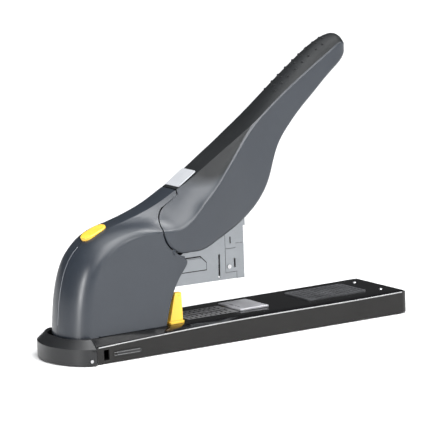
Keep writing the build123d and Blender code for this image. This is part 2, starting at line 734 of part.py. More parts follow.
def driver_spring():
    """Spring that lifts the carrier."""
    return Pos(-2.6, 0, 61.7) * coil(2.5, 0.7, 17.7, 9)


# Magazine --------------------------------------------------------------------------------------

def magazine_rail():
    """Inner rail that the staples straddle."""
    shape = box((-98, 11.2), (-6.2, 6.2), (43.2, 54.3)) - box((-100, 20), (-5.2, 5.2), (42, 53.3))
    shape -= box((-95, -44), (-1.6, 1.6), (50, 60))
    return shape + box((-98, -96.8), (-5.2, 5.2), (43.2, 53.3))


def magazine_nose():
    """Front block of the sliding magazine, with the staple's exit."""
    points = [
        (HEAD_SEAM, 45.5), (HEAD_SEAM, NOSE_TOP), (NOSE_STEP, NOSE_TOP), (NOSE_STEP, NOSE_FRONT_TOP),
        (HEAD_FRONT, NOSE_FRONT_TOP), (HEAD_FRONT, 40), (11, 40.1), (11, 45.5),
    ]
    shape = plate(points, -ARM_HALF, ARM_HALF)
    shape -= box((0, HEAD_FRONT - SHEET), (-ARM_HALF + SHEET, ARM_HALF - SHEET), (38, 80))
    shape -= box((8.6, 10.0), (-20, 20), (48.6, 55.1))
    shape -= box((12, 20), (-6.6, 6.6), (NOSE_TOP, NOSE_FRONT_TOP + 1))
    inner = ARM_HALF - SHEET
    floor = box((2.2, 15.2), (-inner + GAP, inner - GAP), (41.9, 42.9))
    floor += box((11.2, 15.2), (-inner, inner), (41.9, 42.9))
    return shape + floor


def nose_rivets():
    """Rivets that join the nose's floor to its cheeks."""
    rivet = pin_y((4.4, 49.6), 1.6, ARM_HALF, ARM_HALF + 0.6)
    return both(rivet)


def staple_strip():
    """Strip of staples straddling the rail."""
    shape = box((-44, 11.2), (-7.4, 7.4), (43.2, 55.6)) - box((-50, 20), (-6.5, 6.5), (40, 54.8))
    for i in range(54):
        x = -43.2 + i
        shape -= box((x, x + 0.12), (-8, 8), (55.3, 56))
    return shape


def pusher_rod():
    """Rod that the pusher and its spring run on."""
    return pin_x(1.2, -96.8, 9.0, 47.8)


def pin_x(radius, x_low, x_high, z):
    """Round bar along X on the middle plane."""
    return Plane((x_low, 0, z), z_dir=(1, 0, 0)) * extrude(Circle(radius), amount=x_high - x_low)


def staple_pusher():
    """Saddle that presses the strip forward."""
    saddle = box((-60, -44.4), (-7.4, 7.4), (45, 55.8)) - box((-70, 0), (-6.5, 6.5), (40, 54.6))
    neck = box((-58, -50), (-1.3, 1.3), (49.6, 54.6))
    bush = box((-58, -50), (-3, 3), (45.4, 50)) - pin_x(1.25, -70, 0, 47.8)
    return saddle + neck + bush


def pusher_spring():
    """Long spring behind the pusher."""
    return Pos(-96.2, 0, 47.8) * Rot(0, 90, 0) * coil(2.3, 0.6, 37.6, 16)


# Button, guide and latch -----------------------------------------------------------------------

def button_prism(length, width, low, high):
    """Oval prism square to the spine, between two heights over its surface."""
    oval = SlotOverall(length, width)
    prism = extrude(Pos(0, 0, low) * oval, amount=high - low)
    return Pos(BUTTON_CENTRE[0], 0, BUTTON_CENTRE[1]) * Rot(0, -BUTTON_TILT, 0) * prism


def release_button():
    """Oval button with a stem that reaches the magazine's catch."""
    shape = button_prism(BUTTON_LENGTH, BUTTON_WIDTH, -4.5, BUTTON_PROUD)
    shape = fillet(shape.edges().sort_by(Axis.Z)[-3:], 0.9)
    stem = extrude(Pos(0, 0, -23) * Circle(1.8), amount=19)
    return shape + Pos(BUTTON_CENTRE[0], 0, BUTTON_CENTRE[1]) * Rot(0, -BUTTON_TILT, 0) * stem


def button_spring():
    """Spring under the button, round its stem."""
    spring = Pos(0, 0, -20.8) * coil(2.9, 0.6, 15.4, 6)
    return Pos(BUTTON_CENTRE[0], 0, BUTTON_CENTRE[1]) * Rot(0, -BUTTON_TILT, 0) * spring


def paper_guide():
    """Sliding paper stop: two tapered posts on a cross foot with a tongue below."""
    post = plate([(-52.6, COVER_TOP + 1.8), (-42, COVER_TOP + 1.8), (-42.7, 38.4), (-48, 38.6)], 15.2, 19)
    post = fillet(post.edges().filter_by(Axis.Y).group_by(Axis.Z)[-1], 1.2)
    foot = box((GUIDE_REAR, GUIDE_FRONT), (-21, 21), (COVER_TOP + 0.1, COVER_TOP + 1.8))
    foot = fillet(foot.edges().filter_by(Axis.Z), 1.5)
    tongue = box((GUIDE_REAR + 2, GUIDE_FRONT - 2), (-1.9, 1.9), (WEB_TOP + 0.6, COVER_TOP + 0.2))
    lip = box((GUIDE_REAR + 2, GUIDE_FRONT - 2), (-4.4, 4.4), (WEB_TOP + 0.6, WEB_TOP + 2.2))
    return post + mirrored(post) + foot + tongue + lip


def side_latch():
    """Ribbed slider on the near wall that locks the bottom plate."""
    face = Pos(-96, LATCH_Z) * SlotOverall(20, 3.4)
    knob = slab(face, -BASE_HALF - 0.9, -BASE_HALF - 0.1)
    stem = box((-99, -92), (-BASE_HALF - 0.2, -BASE_HALF + WALL + 0.2), (LATCH_Z - 0.8, LATCH_Z + 0.8))
    slide = box((-110, -86), (-BASE_HALF + WALL + 0.1, -BASE_HALF + WALL + 1.3), (2.4, 8.6))
    return knob + stem + slide


def main():
    save("base_channel", base_channel())
    save("base_cover", base_cover())
    save("rear_cap", rear_cap())
    save("cap_rivets", cap_rivets())
    save("base_plate", base_plate())
    save("base_screws", base_screws())
    save("rubber_feet", rubber_feet())
    save("front_rivets", front_rivets())
    save("grip_pad", grip_pad())
    save("anvil_plate", anvil_plate())
    save("scale_plate", scale_plate())
    housing_left, housing_right = housing_halves()
    save("housing_left", housing_left)
    save("housing_right", housing_right)
    save("housing_screws", housing_screws())
    save("pivot_bracket", pivot_bracket())
    save("bracket_bolts", bracket_bolts())
    save("handle_pivot_pin", pivot_pin(PIVOT))
    save("arm_pivot_pin", pivot_pin(ARM_PIVOT))
    save("pivot_clips", pivot_clips())
    save("arm_return_spring", arm_return_spring())
    save("handle_spring", handle_spring())
    cover, side_left, side_right = handle_parts()
    save("handle_top_cover", cover)
    save("handle_side_left", side_left)
    save("handle_side_right", side_right)
    save("badge_plate", badge_plate())
    save("handle_lever", handle_lever())
    save("roller_pin", roller_pin())
    save("press_roller", press_roller())
    save("arm_channel", arm_channel())
    save("arm_side_tabs", arm_side_tabs())
    save("tab_rivets", tab_rivets())
    save("spring_bridge", spring_bridge())
    save("head_front", head_front())
    save("magazine_catch", magazine_catch())
    save("driver_carrier", driver_carrier())
    save("driver_blade", driver_blade())
    save("driver_spring", driver_spring())
    save("magazine_rail", magazine_rail())
    save("magazine_nose", magazine_nose())
    save("nose_rivets", nose_rivets())
    save("staple_strip", staple_strip())
    save("pusher_rod", pusher_rod())
    save("staple_pusher", staple_pusher())
    save("pusher_spring", pusher_spring())
    save("release_button", release_button())
    save("button_spring", button_spring())
    save("paper_guide", paper_guide())
    save("side_latch", side_latch())


main()
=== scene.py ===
import json
import math

import bmesh
import bpy
import numpy as np
from mathutils import Matrix, Vector


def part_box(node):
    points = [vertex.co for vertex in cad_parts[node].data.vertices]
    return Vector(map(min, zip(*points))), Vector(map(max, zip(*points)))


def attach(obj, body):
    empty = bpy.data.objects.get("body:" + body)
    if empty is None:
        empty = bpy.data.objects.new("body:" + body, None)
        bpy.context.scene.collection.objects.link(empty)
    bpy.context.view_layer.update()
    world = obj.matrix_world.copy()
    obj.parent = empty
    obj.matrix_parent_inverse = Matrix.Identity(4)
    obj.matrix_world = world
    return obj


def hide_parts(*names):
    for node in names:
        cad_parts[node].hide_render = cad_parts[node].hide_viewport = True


# Looks of a heavy-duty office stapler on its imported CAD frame.
# Tables are in millimetres, with heights above the base's lower rim, as in the CAD source.

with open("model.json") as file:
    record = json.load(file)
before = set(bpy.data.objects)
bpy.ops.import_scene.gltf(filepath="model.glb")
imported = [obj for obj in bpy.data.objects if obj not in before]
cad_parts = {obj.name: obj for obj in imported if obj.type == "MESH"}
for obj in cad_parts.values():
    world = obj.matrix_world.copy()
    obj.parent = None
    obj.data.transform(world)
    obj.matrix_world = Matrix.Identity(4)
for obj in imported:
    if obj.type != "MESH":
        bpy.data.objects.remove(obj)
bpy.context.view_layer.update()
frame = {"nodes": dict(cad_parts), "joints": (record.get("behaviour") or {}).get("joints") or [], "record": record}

MM = 0.001
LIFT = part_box("base_channel")[0].z
HINGE = next(j for j in frame["joints"] if j["name"] == "handle_hinge")["pos_m"]
PIVOT = (HINGE[0] / MM, (HINGE[2] - LIFT) / MM)

# The moulded shells, and the round joint between the housing and the handle. TOP_GAP is the gap
# beside the handle's top, as a share of the first step of the flank.
SHELL_HALF = 23.3
SHELL_FOOT = 16.5
WALL = 1.8
HUB_RADIUS = 18.5
SEAM = 0.9
TONGUE_END = -38.5
BUTTON_REAR = -99.0
FOOT_PLACES = (-100, -85, -70)
HOUSING_CURL = 0.6
HANDLE_CURL = 2.4
TOP_GAP = 0.15
SHARP_ANGLE = 50


def place(x, y, z):
    """Millimetres over the base's lower rim to the frame's metres."""
    return Vector((x * MM, y * MM, z * MM + LIFT))


# Sections of the skins ------------------------------------------------------------------------
# Each row: crown point, half width of the spine, drop of its edge, ridge point with its half
# width, and the angles under the horizontal at which the flank leaves the spine and meets the
# ridge. The rows run up the back of the housing and along the handle to its tip.

SECTIONS = [
    ((-134.5, SHELL_FOOT), 3.0, 0.2, (-116.0, SHELL_FOOT, SHELL_HALF), 6, 90),
    ((-133.4, 30.0), 3.0, 0.2, (-115.4, 30.0, SHELL_HALF), 6, 90),
    ((-131.9, 42.0), 3.0, 0.2, (-114.2, 41.0, SHELL_HALF), 6, 90),
    ((-129.6, 53.0), 3.0, 0.2, (-112.2, 51.0, SHELL_HALF), 6, 90),
    ((-126.4, 62.5), 3.2, 0.2, (-109.2, 59.5, SHELL_HALF), 6, 90),
    ((-122.3, 70.1), 3.8, 0.2, (-105.4, 66.2, SHELL_HALF), 6, 90),
    ((-117.0, 76.2), 4.8, 0.2, (-101.0, 71.4, SHELL_HALF), 7, 90),
    ((-110.9, 81.4), 6.0, 0.2, (-96.4, 75.5, SHELL_HALF), 8, 88),
    ((-103.9, 85.7), 7.0, 0.3, (-91.4, 78.8, SHELL_HALF), 10, 84),
    ((-96.2, 89.1), 7.4, 0.4, (-86.2, 81.3, SHELL_HALF), 14, 78),
    ((-87.6, 91.8), 7.7, 0.4, (-80.4, 83.1, SHELL_HALF), 22, 68),
    ((-78.0, 94.4), 8.0, 0.4, (-73.8, 84.3, SHELL_HALF), 35, 57),
    ((-68.0, 97.4), 8.3, 0.3, (-66.4, 84.8, SHELL_HALF), 52, 46),
    ((-58.0, 101.0), 8.8, 0.3, (-57.6, 84.4, SHELL_HALF), 62, 40),
    ((-48.0, 105.7), 9.2, 0.3, (-48.0, 84.0, SHELL_HALF), 68, 40),
    ((-39.0, 110.4), 9.5, 0.3, (-39.4, 86.2, SHELL_HALF), 70, 42),
    ((-31.0, 114.5), 9.7, 0.3, (-31.2, 91.6, 23.2), 70, 42),
    ((-22.0, 119.9), 10.0, 0.3, (-22.0, 100.4, 22.6), 68, 40),
    ((-12.0, 126.2), 10.3, 0.3, (-12.0, 108.9, 21.3), 66, 40),
    ((-2.0, 132.6), 10.7, 0.3, (-2.0, 119.2, 19.4), 66, 36),
    ((8.0, 139.1), 11.2, 0.5, (8.0, 129.3, 17.1), 60, 42),
    ((18.0, 146.2), 11.9, 1.1, (18.0, 139.9, 14.9), 56, 48),
    ((28.0, 154.0), 12.4, 2.3, (28.0, 149.9, 13.5), 50, 50),
    ((40.0, 164.1), 12.2, 3.6, (40.0, 159.5, 12.8), 48, 50),
    ((56.0, 177.7), 11.9, 5.6, (56.0, 171.0, 12.4), 48, 50),
    ((72.0, 190.3), 11.6, 7.8, (72.0, 181.4, 12.1), 48, 50),
    ((88.0, 201.5), 11.1, 9.2, (88.0, 191.2, 11.6), 48, 50),
    ((98.0, 206.6), 10.6, 8.5, (98.0, 197.1, 11.1), 48, 52),
    ((104.0, 208.5), 9.9, 7.1, (104.0, 200.3, 10.5), 48, 56),
    ((108.6, 208.4), 8.8, 5.6, (108.6, 201.8, 9.5), 48, 60),
    ((111.8, 206.2), 7.2, 3.8, (111.8, 201.6, 7.9), 48, 64),
    ((113.6, 203.2), 4.9, 1.8, (113.6, 200.8, 5.6), 48, 68),
    ((114.4, 200.6), 2.2, 0.5, (114.4, 199.9, 2.8), 48, 70),
    ((114.6, 199.4), 0.3, 0.1, (114.6, 199.2, 0.5), 48, 70),
]

# How the points of a section are spread: the crown's arch, the flank's curve, the ridge's corner.
ARCH = 2.5
SPINE_SHARES = (0, 0.2, 0.4, 0.58, 0.73, 0.85, 0.93, 0.97, 1.0)
SPINE_COLUMNS = len(SPINE_SHARES)
FLANK_REACH = 0.37
FLANK_CROWDING = 0.10
FLANK_COLUMNS = 18
RIDGE_ROUND = 1.3
CORNER_COLUMNS = 6

# How many rows the skins have, and how late the ends of their lines turn into the joint.
SKIN_ROWS = 420
HOUSING_ROWS = 110
HANDLE_ROWS = 190
HOUSING_EASE = 5
HANDLE_EASE = 9

# How many steps the arcs round the hub have, and how many points the smooth outlines.
HOUSING_ARC_STEPS = 19
HANDLE_ARC_STEPS = 24
FRONT_EDGE_POINTS = 30
WALL_TOP_POINTS = 60
HANDLE_LOWER_POINTS = 120

# Points between a ridge and a lower edge: millimetres from the ridge, shares of the way, and
# distances from the edge as multiples of its curl.
NEAR_RIDGE = (0.7, 2.0, 5.0)
BETWEEN = (0.35, 0.5, 0.65)
IN_CURL = (2.2, 1.5, 1, 0.6, 0.28, 0.08, 0.0)

# Outlines in X and Z: the housing's front edge, its relief under the hub, the top of the base's
# side walls, the gap round the arm's straps, and the handle's lower edge.
FRONT_EDGE = [
    (-58.3, SHELL_FOOT), (-53.4, 35), (-46.9, 48.5), (-41.6, 55.6), (-39.2, 59.2), (-38.9, 61.3),
    (-39.8, 62.3),
]
RELIEF = [(-41.1, 62.8), (-43.5, 64.1), (-45.6, 65.9), (-47.6, 68.0)]
WALL_TOP = [(-120.6, 11.4), (-80, 13.0), (-30, 14.5), (40, 15.1), (95, 15.0), (141, 15.5)]
STRAP_GAP = [(-75, 49.8), (-14.8, 49.4), (-14.8, 55.4), (-20.0, 60.5), (-75, 60.5)]
STRAP_GAP_Y = (9.6, 10.12)
HANDLE_LOWER = [
    (-36, 66.8), (-28, 66.5), (-20, 68.2), (-9, 72.8), (3, 77.6), (17.2, 84.4), (26.2, 90.8), (33.4, 98.4),
    (39.3, 108.0), (43.7, 120.2), (50.1, 135.4), (58.0, 145.6), (69.0, 157.0), (81.0, 167.4), (99.5, 182.9),
    (108.6, 189.7), (112.9, 194.6), (114.5, 198.2), (114.6, 199.0),
]

# Small lines: the painted highlight along the base's wall tops, the lip under the handle, the slider's ribs, and
# the painted highlight down the joint of the back, whose span is its lowest and highest Z and its foremost X.
WALL_EDGE_Y = 32.4
WALL_EDGE_SUNK = 0.15
WALL_EDGE_RADIUS = 0.42
LIP_START = -10.0
LIP_END = 110.0
LIP_RADIUS = 1.0
LIP_BACK, LIP_INWARD, LIP_UP = 0.7, 1.6, 0.9
RIB_RISE = 0.95
RIB_INSET = 1.6
RIB_RADIUS = 0.32
SEAM_HIGHLIGHT_RADIUS = 0.24
SEAM_HIGHLIGHT_SPAN = (24, 78, -114)

# The joint between the housing's halves, down its back: half its gap, and the depths of its walls.
BACK_GAP_HALF = 0.22
BACK_GAP_INNER = 0.04
BACK_GAP_DEPTHS = (0.05, 0.8)
HOUSING_MIDDLE = (-95.0, 0.0, 40.0)

# The grip's domes.
STUD_ROWS = 8
STUD_PITCH = 6.1
STUD_START = 51
STUD_STAGGER = 3.0
STUD_PLACES = (-6.6, -2.2, 2.2, 6.6)
STUD_RADIUS = 0.95

# Where the black of the handle's top fades into its grey flank: half width at X = 0, how it grows
# along X, how soft the edge is, and its colour. A face whose normal has more of Y than FLANK_LEVEL
# belongs to the side wall.
FADE_HALF = 20.3
FADE_SLOPE = 0.41
FADE_SOFT = 1.6
FADE_BLACK = (0.006, 0.007, 0.008)
FLANK_LEVEL = 0.97


def spline(t_known, known, t_new):
    """Natural cubic spline through known rows, each of any number of values."""
    t, f = np.asarray(t_known, float), np.asarray(known, float)
    n = len(t)
    flat = f.reshape(n, -1)
    h = np.diff(t)
    matrix = np.eye(n)
    right = np.zeros_like(flat)
    for i in range(1, n - 1):
        matrix[i, i - 1:i + 2] = [h[i - 1], 2 * (h[i - 1] + h[i]), h[i]]
        right[i] = 6 * ((flat[i + 1] - flat[i]) / h[i] - (flat[i] - flat[i - 1]) / h[i - 1])
    curve = np.linalg.solve(matrix, right)
    new = np.asarray(t_new, float)
    k = np.clip(np.searchsorted(t, new, side="right") - 1, 0, n - 2)
    a = ((t[k + 1] - new) / h[k])[:, None]
    b = 1 - a
    step = (h[k] ** 2)[:, None] / 6
    out = a * flat[k] + b * flat[k + 1] + ((a ** 3 - a) * curve[k] + (b ** 3 - b) * curve[k + 1]) * step
    return out.reshape((len(new),) + f.shape[1:])


def along(points):
    """Distance of each point along its line."""
    steps = np.linalg.norm(np.diff(np.asarray(points, float), axis=0), axis=1)
    return np.concatenate([[0.0], np.cumsum(steps)])


def resample(points, shares):
    """Points at the given shares of a line's length."""
    t = along(points)
    return np.stack([np.interp(np.asarray(shares) * t[-1], t, np.asarray(points, float)[:, i])
                     for i in range(len(points[0]))], axis=1)


def curve_through(points, count):
    """Smooth open line through a few points."""
    t = along(points)
    return spline(t, points, np.linspace(0, t[-1], count))


def section(row):
    """Points of one section from the crown out to the ridge."""
    (cx, cz), half, drop, (rx, rz, ry), leave, meet = row
    inward = np.array([rx - cx, 0.0, rz - cz])
    inward /= np.linalg.norm(inward)
    across = np.array([0.0, 1.0, 0.0])
    crown = np.array([cx, 0.0, cz])
    edge = crown + across * half + inward * drop
    ridge = np.array([rx, ry, rz])
    top = [crown + across * half * s + inward * drop * s ** ARCH for s in np.array(SPINE_SHARES)]
    drop_length = np.linalg.norm(ridge - edge)
    turn = min(RIDGE_ROUND, 0.25 * ry, 0.25 * drop_length)
    reach = FLANK_REACH * drop_length
    a, b = math.radians(leave), math.radians(meet)
    arriving = math.cos(b) * across + math.sin(b) * inward
    last = ridge - turn * arriving
    p1 = edge + reach * (math.cos(a) * across + math.sin(a) * inward)
    p2 = last - reach * arriving
    flank = []
    for i in range(1, FLANK_COLUMNS + 1):
        s = i / FLANK_COLUMNS
        s = s - FLANK_CROWDING * math.sin(2 * math.pi * s)
        q = 1 - s
        flank.append(q ** 3 * edge + 3 * q * q * s * p1 + 3 * q * s * s * p2 + s ** 3 * last)
    for i in range(1, CORNER_COLUMNS + 1):
        s = i / CORNER_COLUMNS
        q = 1 - s
        flank.append(q * q * last + 2 * q * s * ridge + s * s * (ridge + inward * turn))
    return top + flank


def skin_lines(count):
    """All longitudinal lines of the skins: an array of count rows of section points."""
    rows = np.array([section(row) for row in SECTIONS])
    middle = (rows[:, 0] + rows[:, -1]) / 2
    t = along(middle)
    return spline(t, rows, np.linspace(0, t[-1], count))


def crossing(line, radius, tongue_end, meets_hub):
    """Fractional index where a line meets the joint, at the tongue's end or the hub's circle."""
    x, z = line[:, 0], line[:, 2]
    value = tongue_end - x
    if meets_hub:
        value = np.minimum(value, np.hypot(x - PIVOT[0], z - PIVOT[1]) - radius)
    first = int(np.argmax(value < 0))
    return first - value[first] / (value[first] - value[first - 1])


def pick(line, places):
    """Points of a line at fractional indices."""
    index = np.arange(len(line))
    return np.stack([np.interp(places, index, line[:, i]) for i in range(3)], axis=1)


def joint_ends(lines, radius, tongue_end):
    """Fractional index where each line meets the joint; only the lines of the flank meet the hub."""
    return [crossing(lines[:, j], radius, tongue_end, j >= SPINE_COLUMNS) for j in range(lines.shape[1])]


def hub_angle(x, z):
    """Angle of a point round the handle's pivot."""
    return math.atan2(z - PIVOT[1], x - PIVOT[0])


def hub_arc(radius, start, stop, steps):
    """Points on a circle round the handle's pivot, from one angle to the other, both included."""
    angles = [start + (stop - start) * i / steps for i in range(steps + 1)]
    return [(PIVOT[0] + radius * math.cos(a), PIVOT[1] + radius * math.sin(a)) for a in angles]


def half_width_along(ridge):
    """The ridge's half width as a function of X."""
    order = np.argsort(ridge[:, 0])
    return lambda x: float(np.interp(x, ridge[order, 0], ridge[order, 1]))


# Meshes ---------------------------------------------------------------------------------------

def finish_mesh(name, bm, body, material, smooth=True):
    """Makes a piece from a bmesh and lets it ride on a body."""
    bm.normal_update()
    mesh = bpy.data.meshes.new(name)
    bm.to_mesh(mesh)
    bm.free()
    obj = bpy.data.objects.new(name, mesh)
    bpy.context.scene.collection.objects.link(obj)
    mesh.materials.append(material)
    for polygon in mesh.polygons:
        polygon.use_smooth = smooth
    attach(obj, body)
    return obj


def add_grid(bm, points, side=1):
    """Adds a grid of points, in millimetres, on one side, with a face between each four."""
    grid = [[bm.verts.new(place(x, side * y, z)) for x, y, z in row] for row in points]
    for row, following in zip(grid, grid[1:]):
        for a, b, c, d in zip(row, row[1:], following[1:], following):
            corners = []
            for vertex in (a, b, c, d):
                if vertex not in corners:
                    corners.append(vertex)
            if len(corners) > 2:
                bm.faces.new(corners)


def weld(bm):
    """Joins the points that two grids share."""
    bmesh.ops.remove_doubles(bm, verts=bm.verts, dist=0.02 * MM)


def outward(bm, centre):
    """Turns the faces so that most of them look away from centre."""
    bm.normal_update()
    score = 0.0
    for face in bm.faces:
        score += face.normal.dot(face.calc_center_median() - centre) * face.calc_area()
    if score < 0:
        bmesh.ops.reverse_faces(bm, faces=bm.faces)


def thicken(obj):
    """Gives a skin the wall's thickness, inwards, with crisp rims."""
    modifier = obj.modifiers.new("wall", "SOLIDIFY")
    modifier.thickness = WALL * MM
    modifier.offset = -1
    modifier.use_quality_normals = True
    split = obj.modifiers.new("sharp", "EDGE_SPLIT")
    split.split_angle = math.radians(SHARP_ANGLE)


def side_wall(ridge, boundary, half_at, curl):
    """Rows of points from the ridge line down to the boundary line, rounded under at the edge."""
    shares = along(ridge) / along(ridge)[-1]
    edge = resample(boundary, shares)
    rows = []
    for top, low in zip(ridge, edge):
        start = np.array([top[0], top[2]])
        run = np.linalg.norm(low - start)
        reach = [min(o, run * 0.3) for o in NEAR_RIDGE]
        reach += [run * s for s in BETWEEN]
        reach += [run - min(curl * s, run * 0.3 * (1 - k * 0.1)) for k, s in enumerate(IN_CURL)]
        row = [top]
        for r in sorted(reach):
            x, z = start + (low - start) * (r / max(run, 1e-6))
            left = run - r
            inner = curl - math.sqrt(max(curl ** 2 - max(curl - left, 0) ** 2, 0))
            row.append(np.array([x, half_at(x) - inner, z]))
        rows.append(row)
    return np.array(rows)


LINES = skin_lines(SKIN_ROWS)


def housing_half(side, material):
    """One moulded half of the housing, with its back, spine, flank and side."""
    ends = joint_ends(LINES, HUB_RADIUS + SEAM, TONGUE_END)
    last = ends[-1]
    shares = np.linspace(0, 1, HOUSING_ROWS)
    columns = []
    for j, end in enumerate(ends):
        places = shares * last + (end - last) * shares ** HOUSING_EASE
        columns.append(pick(LINES[:, j], places))
    skin = np.stack(columns, axis=1)
    crown = skin[:, 0].copy()
    open_seam = crown[:, 0] < BUTTON_REAR
    skin[:, 0, 1] = np.where(open_seam, BACK_GAP_HALF, 0.0)
    inward = np.array(HOUSING_MIDDLE) - crown
    inward[:, 1] = 0
    inward /= np.linalg.norm(inward, axis=1)[:, None]
    seam = np.stack([crown + inward * depth for depth in BACK_GAP_DEPTHS], axis=1)
    seam[:, :, 1] = BACK_GAP_INNER
    ridge = skin[:, -1]
    stop = hub_angle(ridge[-1][0], ridge[-1][2])
    stop += -2 * math.pi if stop > 0 else 0
    arc = hub_arc(HUB_RADIUS + SEAM, hub_angle(*RELIEF[-1]), stop, HOUSING_ARC_STEPS)
    foot = [(ridge[0][0], ridge[0][2])] + [(x, SHELL_FOOT) for x in FOOT_PLACES]
    front = [tuple(p) for p in curve_through(FRONT_EDGE, FRONT_EDGE_POINTS)]
    boundary = foot + front + RELIEF + arc[1:]
    wall = side_wall(ridge, boundary, lambda x: SHELL_HALF, HOUSING_CURL)
    bm = bmesh.new()
    for points in (skin, seam, wall):
        add_grid(bm, points, side)
    weld(bm)
    outward(bm, place(-90, 0, 45))
    name = "housing_shell_left" if side > 0 else "housing_shell_right"
    obj = finish_mesh(name, bm, "base", material)
    thicken(obj)
    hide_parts("housing_left" if side > 0 else "housing_right")


def handle_columns(first, last):
    """The handle's part of the longitudinal lines, from the joint to the tip."""
    ends = joint_ends(LINES, HUB_RADIUS, TONGUE_END + SEAM)
    total = len(LINES) - 1
    base = ends[-1]
    shares = np.linspace(0, 1, HANDLE_ROWS)
    columns = []
    for j in range(first, last):
        places = base + shares * (total - base) + (ends[j] - base) * (1 - shares) ** HANDLE_EASE
        columns.append(pick(LINES[:, j], places))
    return np.stack(columns, axis=1)


def handle_half(side, material, flank_material):
    """Grey side shell of the handle: the scooped flank and the wall under the ridge."""
    flank = handle_columns(SPINE_COLUMNS - 1, LINES.shape[1])
    flank[:, 0] = flank[:, 0] * (1 - TOP_GAP) + flank[:, 1] * TOP_GAP
    ridge = flank[:, -1]
    start = hub_angle(ridge[0][0], ridge[0][2])
    start += -2 * math.pi if start > 0 else 0
    arc = hub_arc(HUB_RADIUS, start, hub_angle(*HANDLE_LOWER[0]), HANDLE_ARC_STEPS)
    lower = [tuple(p) for p in curve_through(HANDLE_LOWER, HANDLE_LOWER_POINTS)]
    half_at = half_width_along(ridge)
    wall = side_wall(ridge, arc[:-1] + lower, half_at, HANDLE_CURL)
    bm = bmesh.new()
    for points in (flank, wall):
        add_grid(bm, points, side)
    weld(bm)
    outward(bm, place(0, 0, 100))
    name = "handle_shell_left" if side > 0 else "handle_shell_right"
    obj = finish_mesh(name, bm, "handle", material)
    obj.data.materials.append(flank_material)
    for polygon in obj.data.polygons:
        x, y = polygon.center.x / MM, abs(polygon.center.y) / MM
        on_flank = abs(polygon.normal.y) < FLANK_LEVEL and y < half_at(x) - RIDGE_ROUND
        polygon.material_index = 1 if on_flank else 0
    thicken(obj)
    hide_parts("handle_side_left" if side > 0 else "handle_side_right")


def handle_top(material):
    """Black top cover along the spine and over the grip."""
    top = handle_columns(0, SPINE_COLUMNS)
    far = top[:, ::-1] * np.array([1.0, -1.0, 1.0])
    bm = bmesh.new()
    add_grid(bm, np.concatenate([far[:, :-1], top], axis=1))
    weld(bm)
    outward(bm, place(0, 0, 100))
    obj = finish_mesh("handle_top", bm, "handle", material)
    thicken(obj)
    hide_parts("handle_top_cover")


def surface_at(top, x, y):
    """Point and normal of the handle's top, given as its rows of points, at a plan position."""
    row = int(np.argmin(np.abs(top[:, 0, 0] - x)))
    line = top[row]
    z = np.interp(abs(y), line[:, 1], line[:, 2])
    ahead = top[row + 3, 0] - top[row - 3, 0]
    slope = (np.interp(abs(y) + 0.5, line[:, 1], line[:, 2]) - z) / 0.5
    run = Vector(ahead).normalized()
    across = Vector((0, 1, slope * (1 if y >= 0 else -1))).normalized()
    return np.array([top[row, 0, 0], y, z]), run.cross(across).normalized()


def grip_studs(material):
    """Small domes moulded on the grip."""
    top = handle_columns(0, SPINE_COLUMNS)
    bm = bmesh.new()
    for row in range(STUD_ROWS):
        for y in STUD_PLACES:
            inner = abs(y) < max(STUD_PLACES) / 2
            x = STUD_START + row * STUD_PITCH + (STUD_STAGGER if inner else 0)
            point, normal = surface_at(top, x, y)
            turn = Vector((0, 0, 1)).rotation_difference(normal).to_matrix().to_4x4()
            at = Matrix.Translation(place(*point)) @ turn @ Matrix.Diagonal((1, 1, 0.75, 1))
            bmesh.ops.create_uvsphere(bm, u_segments=14, v_segments=8, radius=STUD_RADIUS * MM, matrix=at)
    obj = finish_mesh("grip_studs", bm, "handle", material)


def bead(name, points, radius, body, material):
    """Fine raised line of round section along a few points."""
    curve = bpy.data.curves.new(name, "CURVE")
    curve.dimensions = "3D"
    curve.bevel_depth = radius * MM
    curve.bevel_resolution = 3
    curve.use_fill_caps = True
    line = curve.splines.new("POLY")
    line.points.add(len(points) - 1)
    for point, p in zip(line.points, points):
        point.co = (*place(*p), 1)
    obj = bpy.data.objects.new(name, curve)
    bpy.context.scene.collection.objects.link(obj)
    curve.materials.append(material)
    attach(obj, body)


def wall_edges(material):
    """Light bead along the arched top of the base's side walls: a painted highlight on their top edge."""
    top = curve_through(WALL_TOP, WALL_TOP_POINTS)
    for side, name in ((-1, "wall_edge_right"), (1, "wall_edge_left")):
        points = [(x, side * WALL_EDGE_Y, z - WALL_EDGE_SUNK) for x, z in top]
        bead(name, points, WALL_EDGE_RADIUS, "base", material)


def handle_lips(material):
    """Dark rolled lip along the lower edge of the handle's side shells."""
    half_at = half_width_along(LINES[:, -1])
    line = [p for p in curve_through(HANDLE_LOWER, HANDLE_LOWER_POINTS) if LIP_START < p[0] < LIP_END]
    for side, name in ((-1, "handle_lip_right"), (1, "handle_lip_left")):
        points = [(x - LIP_BACK, side * (half_at(x) - LIP_INWARD), z + LIP_UP) for x, z in line]
        bead(name, points, LIP_RADIUS, "handle", material)


def latch_ribs(material):
    """Two raised ribs along the slider on the near wall."""
    low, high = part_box("side_latch")
    middle = (low.z + high.z) / 2 - LIFT
    for i, rise in enumerate((-RIB_RISE, RIB_RISE)):
        z = middle / MM + rise
        ends = [(x / MM, low.y / MM, z) for x in (low.x + RIB_INSET * MM, high.x - RIB_INSET * MM)]
        bead(f"latch_rib_{i}", ends, RIB_RADIUS, "latch", material)


def housing_seam(material):
    """Thin light bead down the housing's back, below the button: a painted highlight along the joint of its
    halves.
    """
    low, high, front = SEAM_HIGHLIGHT_SPAN
    crown = [p for p in LINES[:, 0] if low < p[2] < high and p[0] < front]
    points = [(p[0] + 0.08, 0.0, p[2] - 0.05) for p in crown]
    bead("housing_seam", points, SEAM_HIGHLIGHT_RADIUS, "base", material)


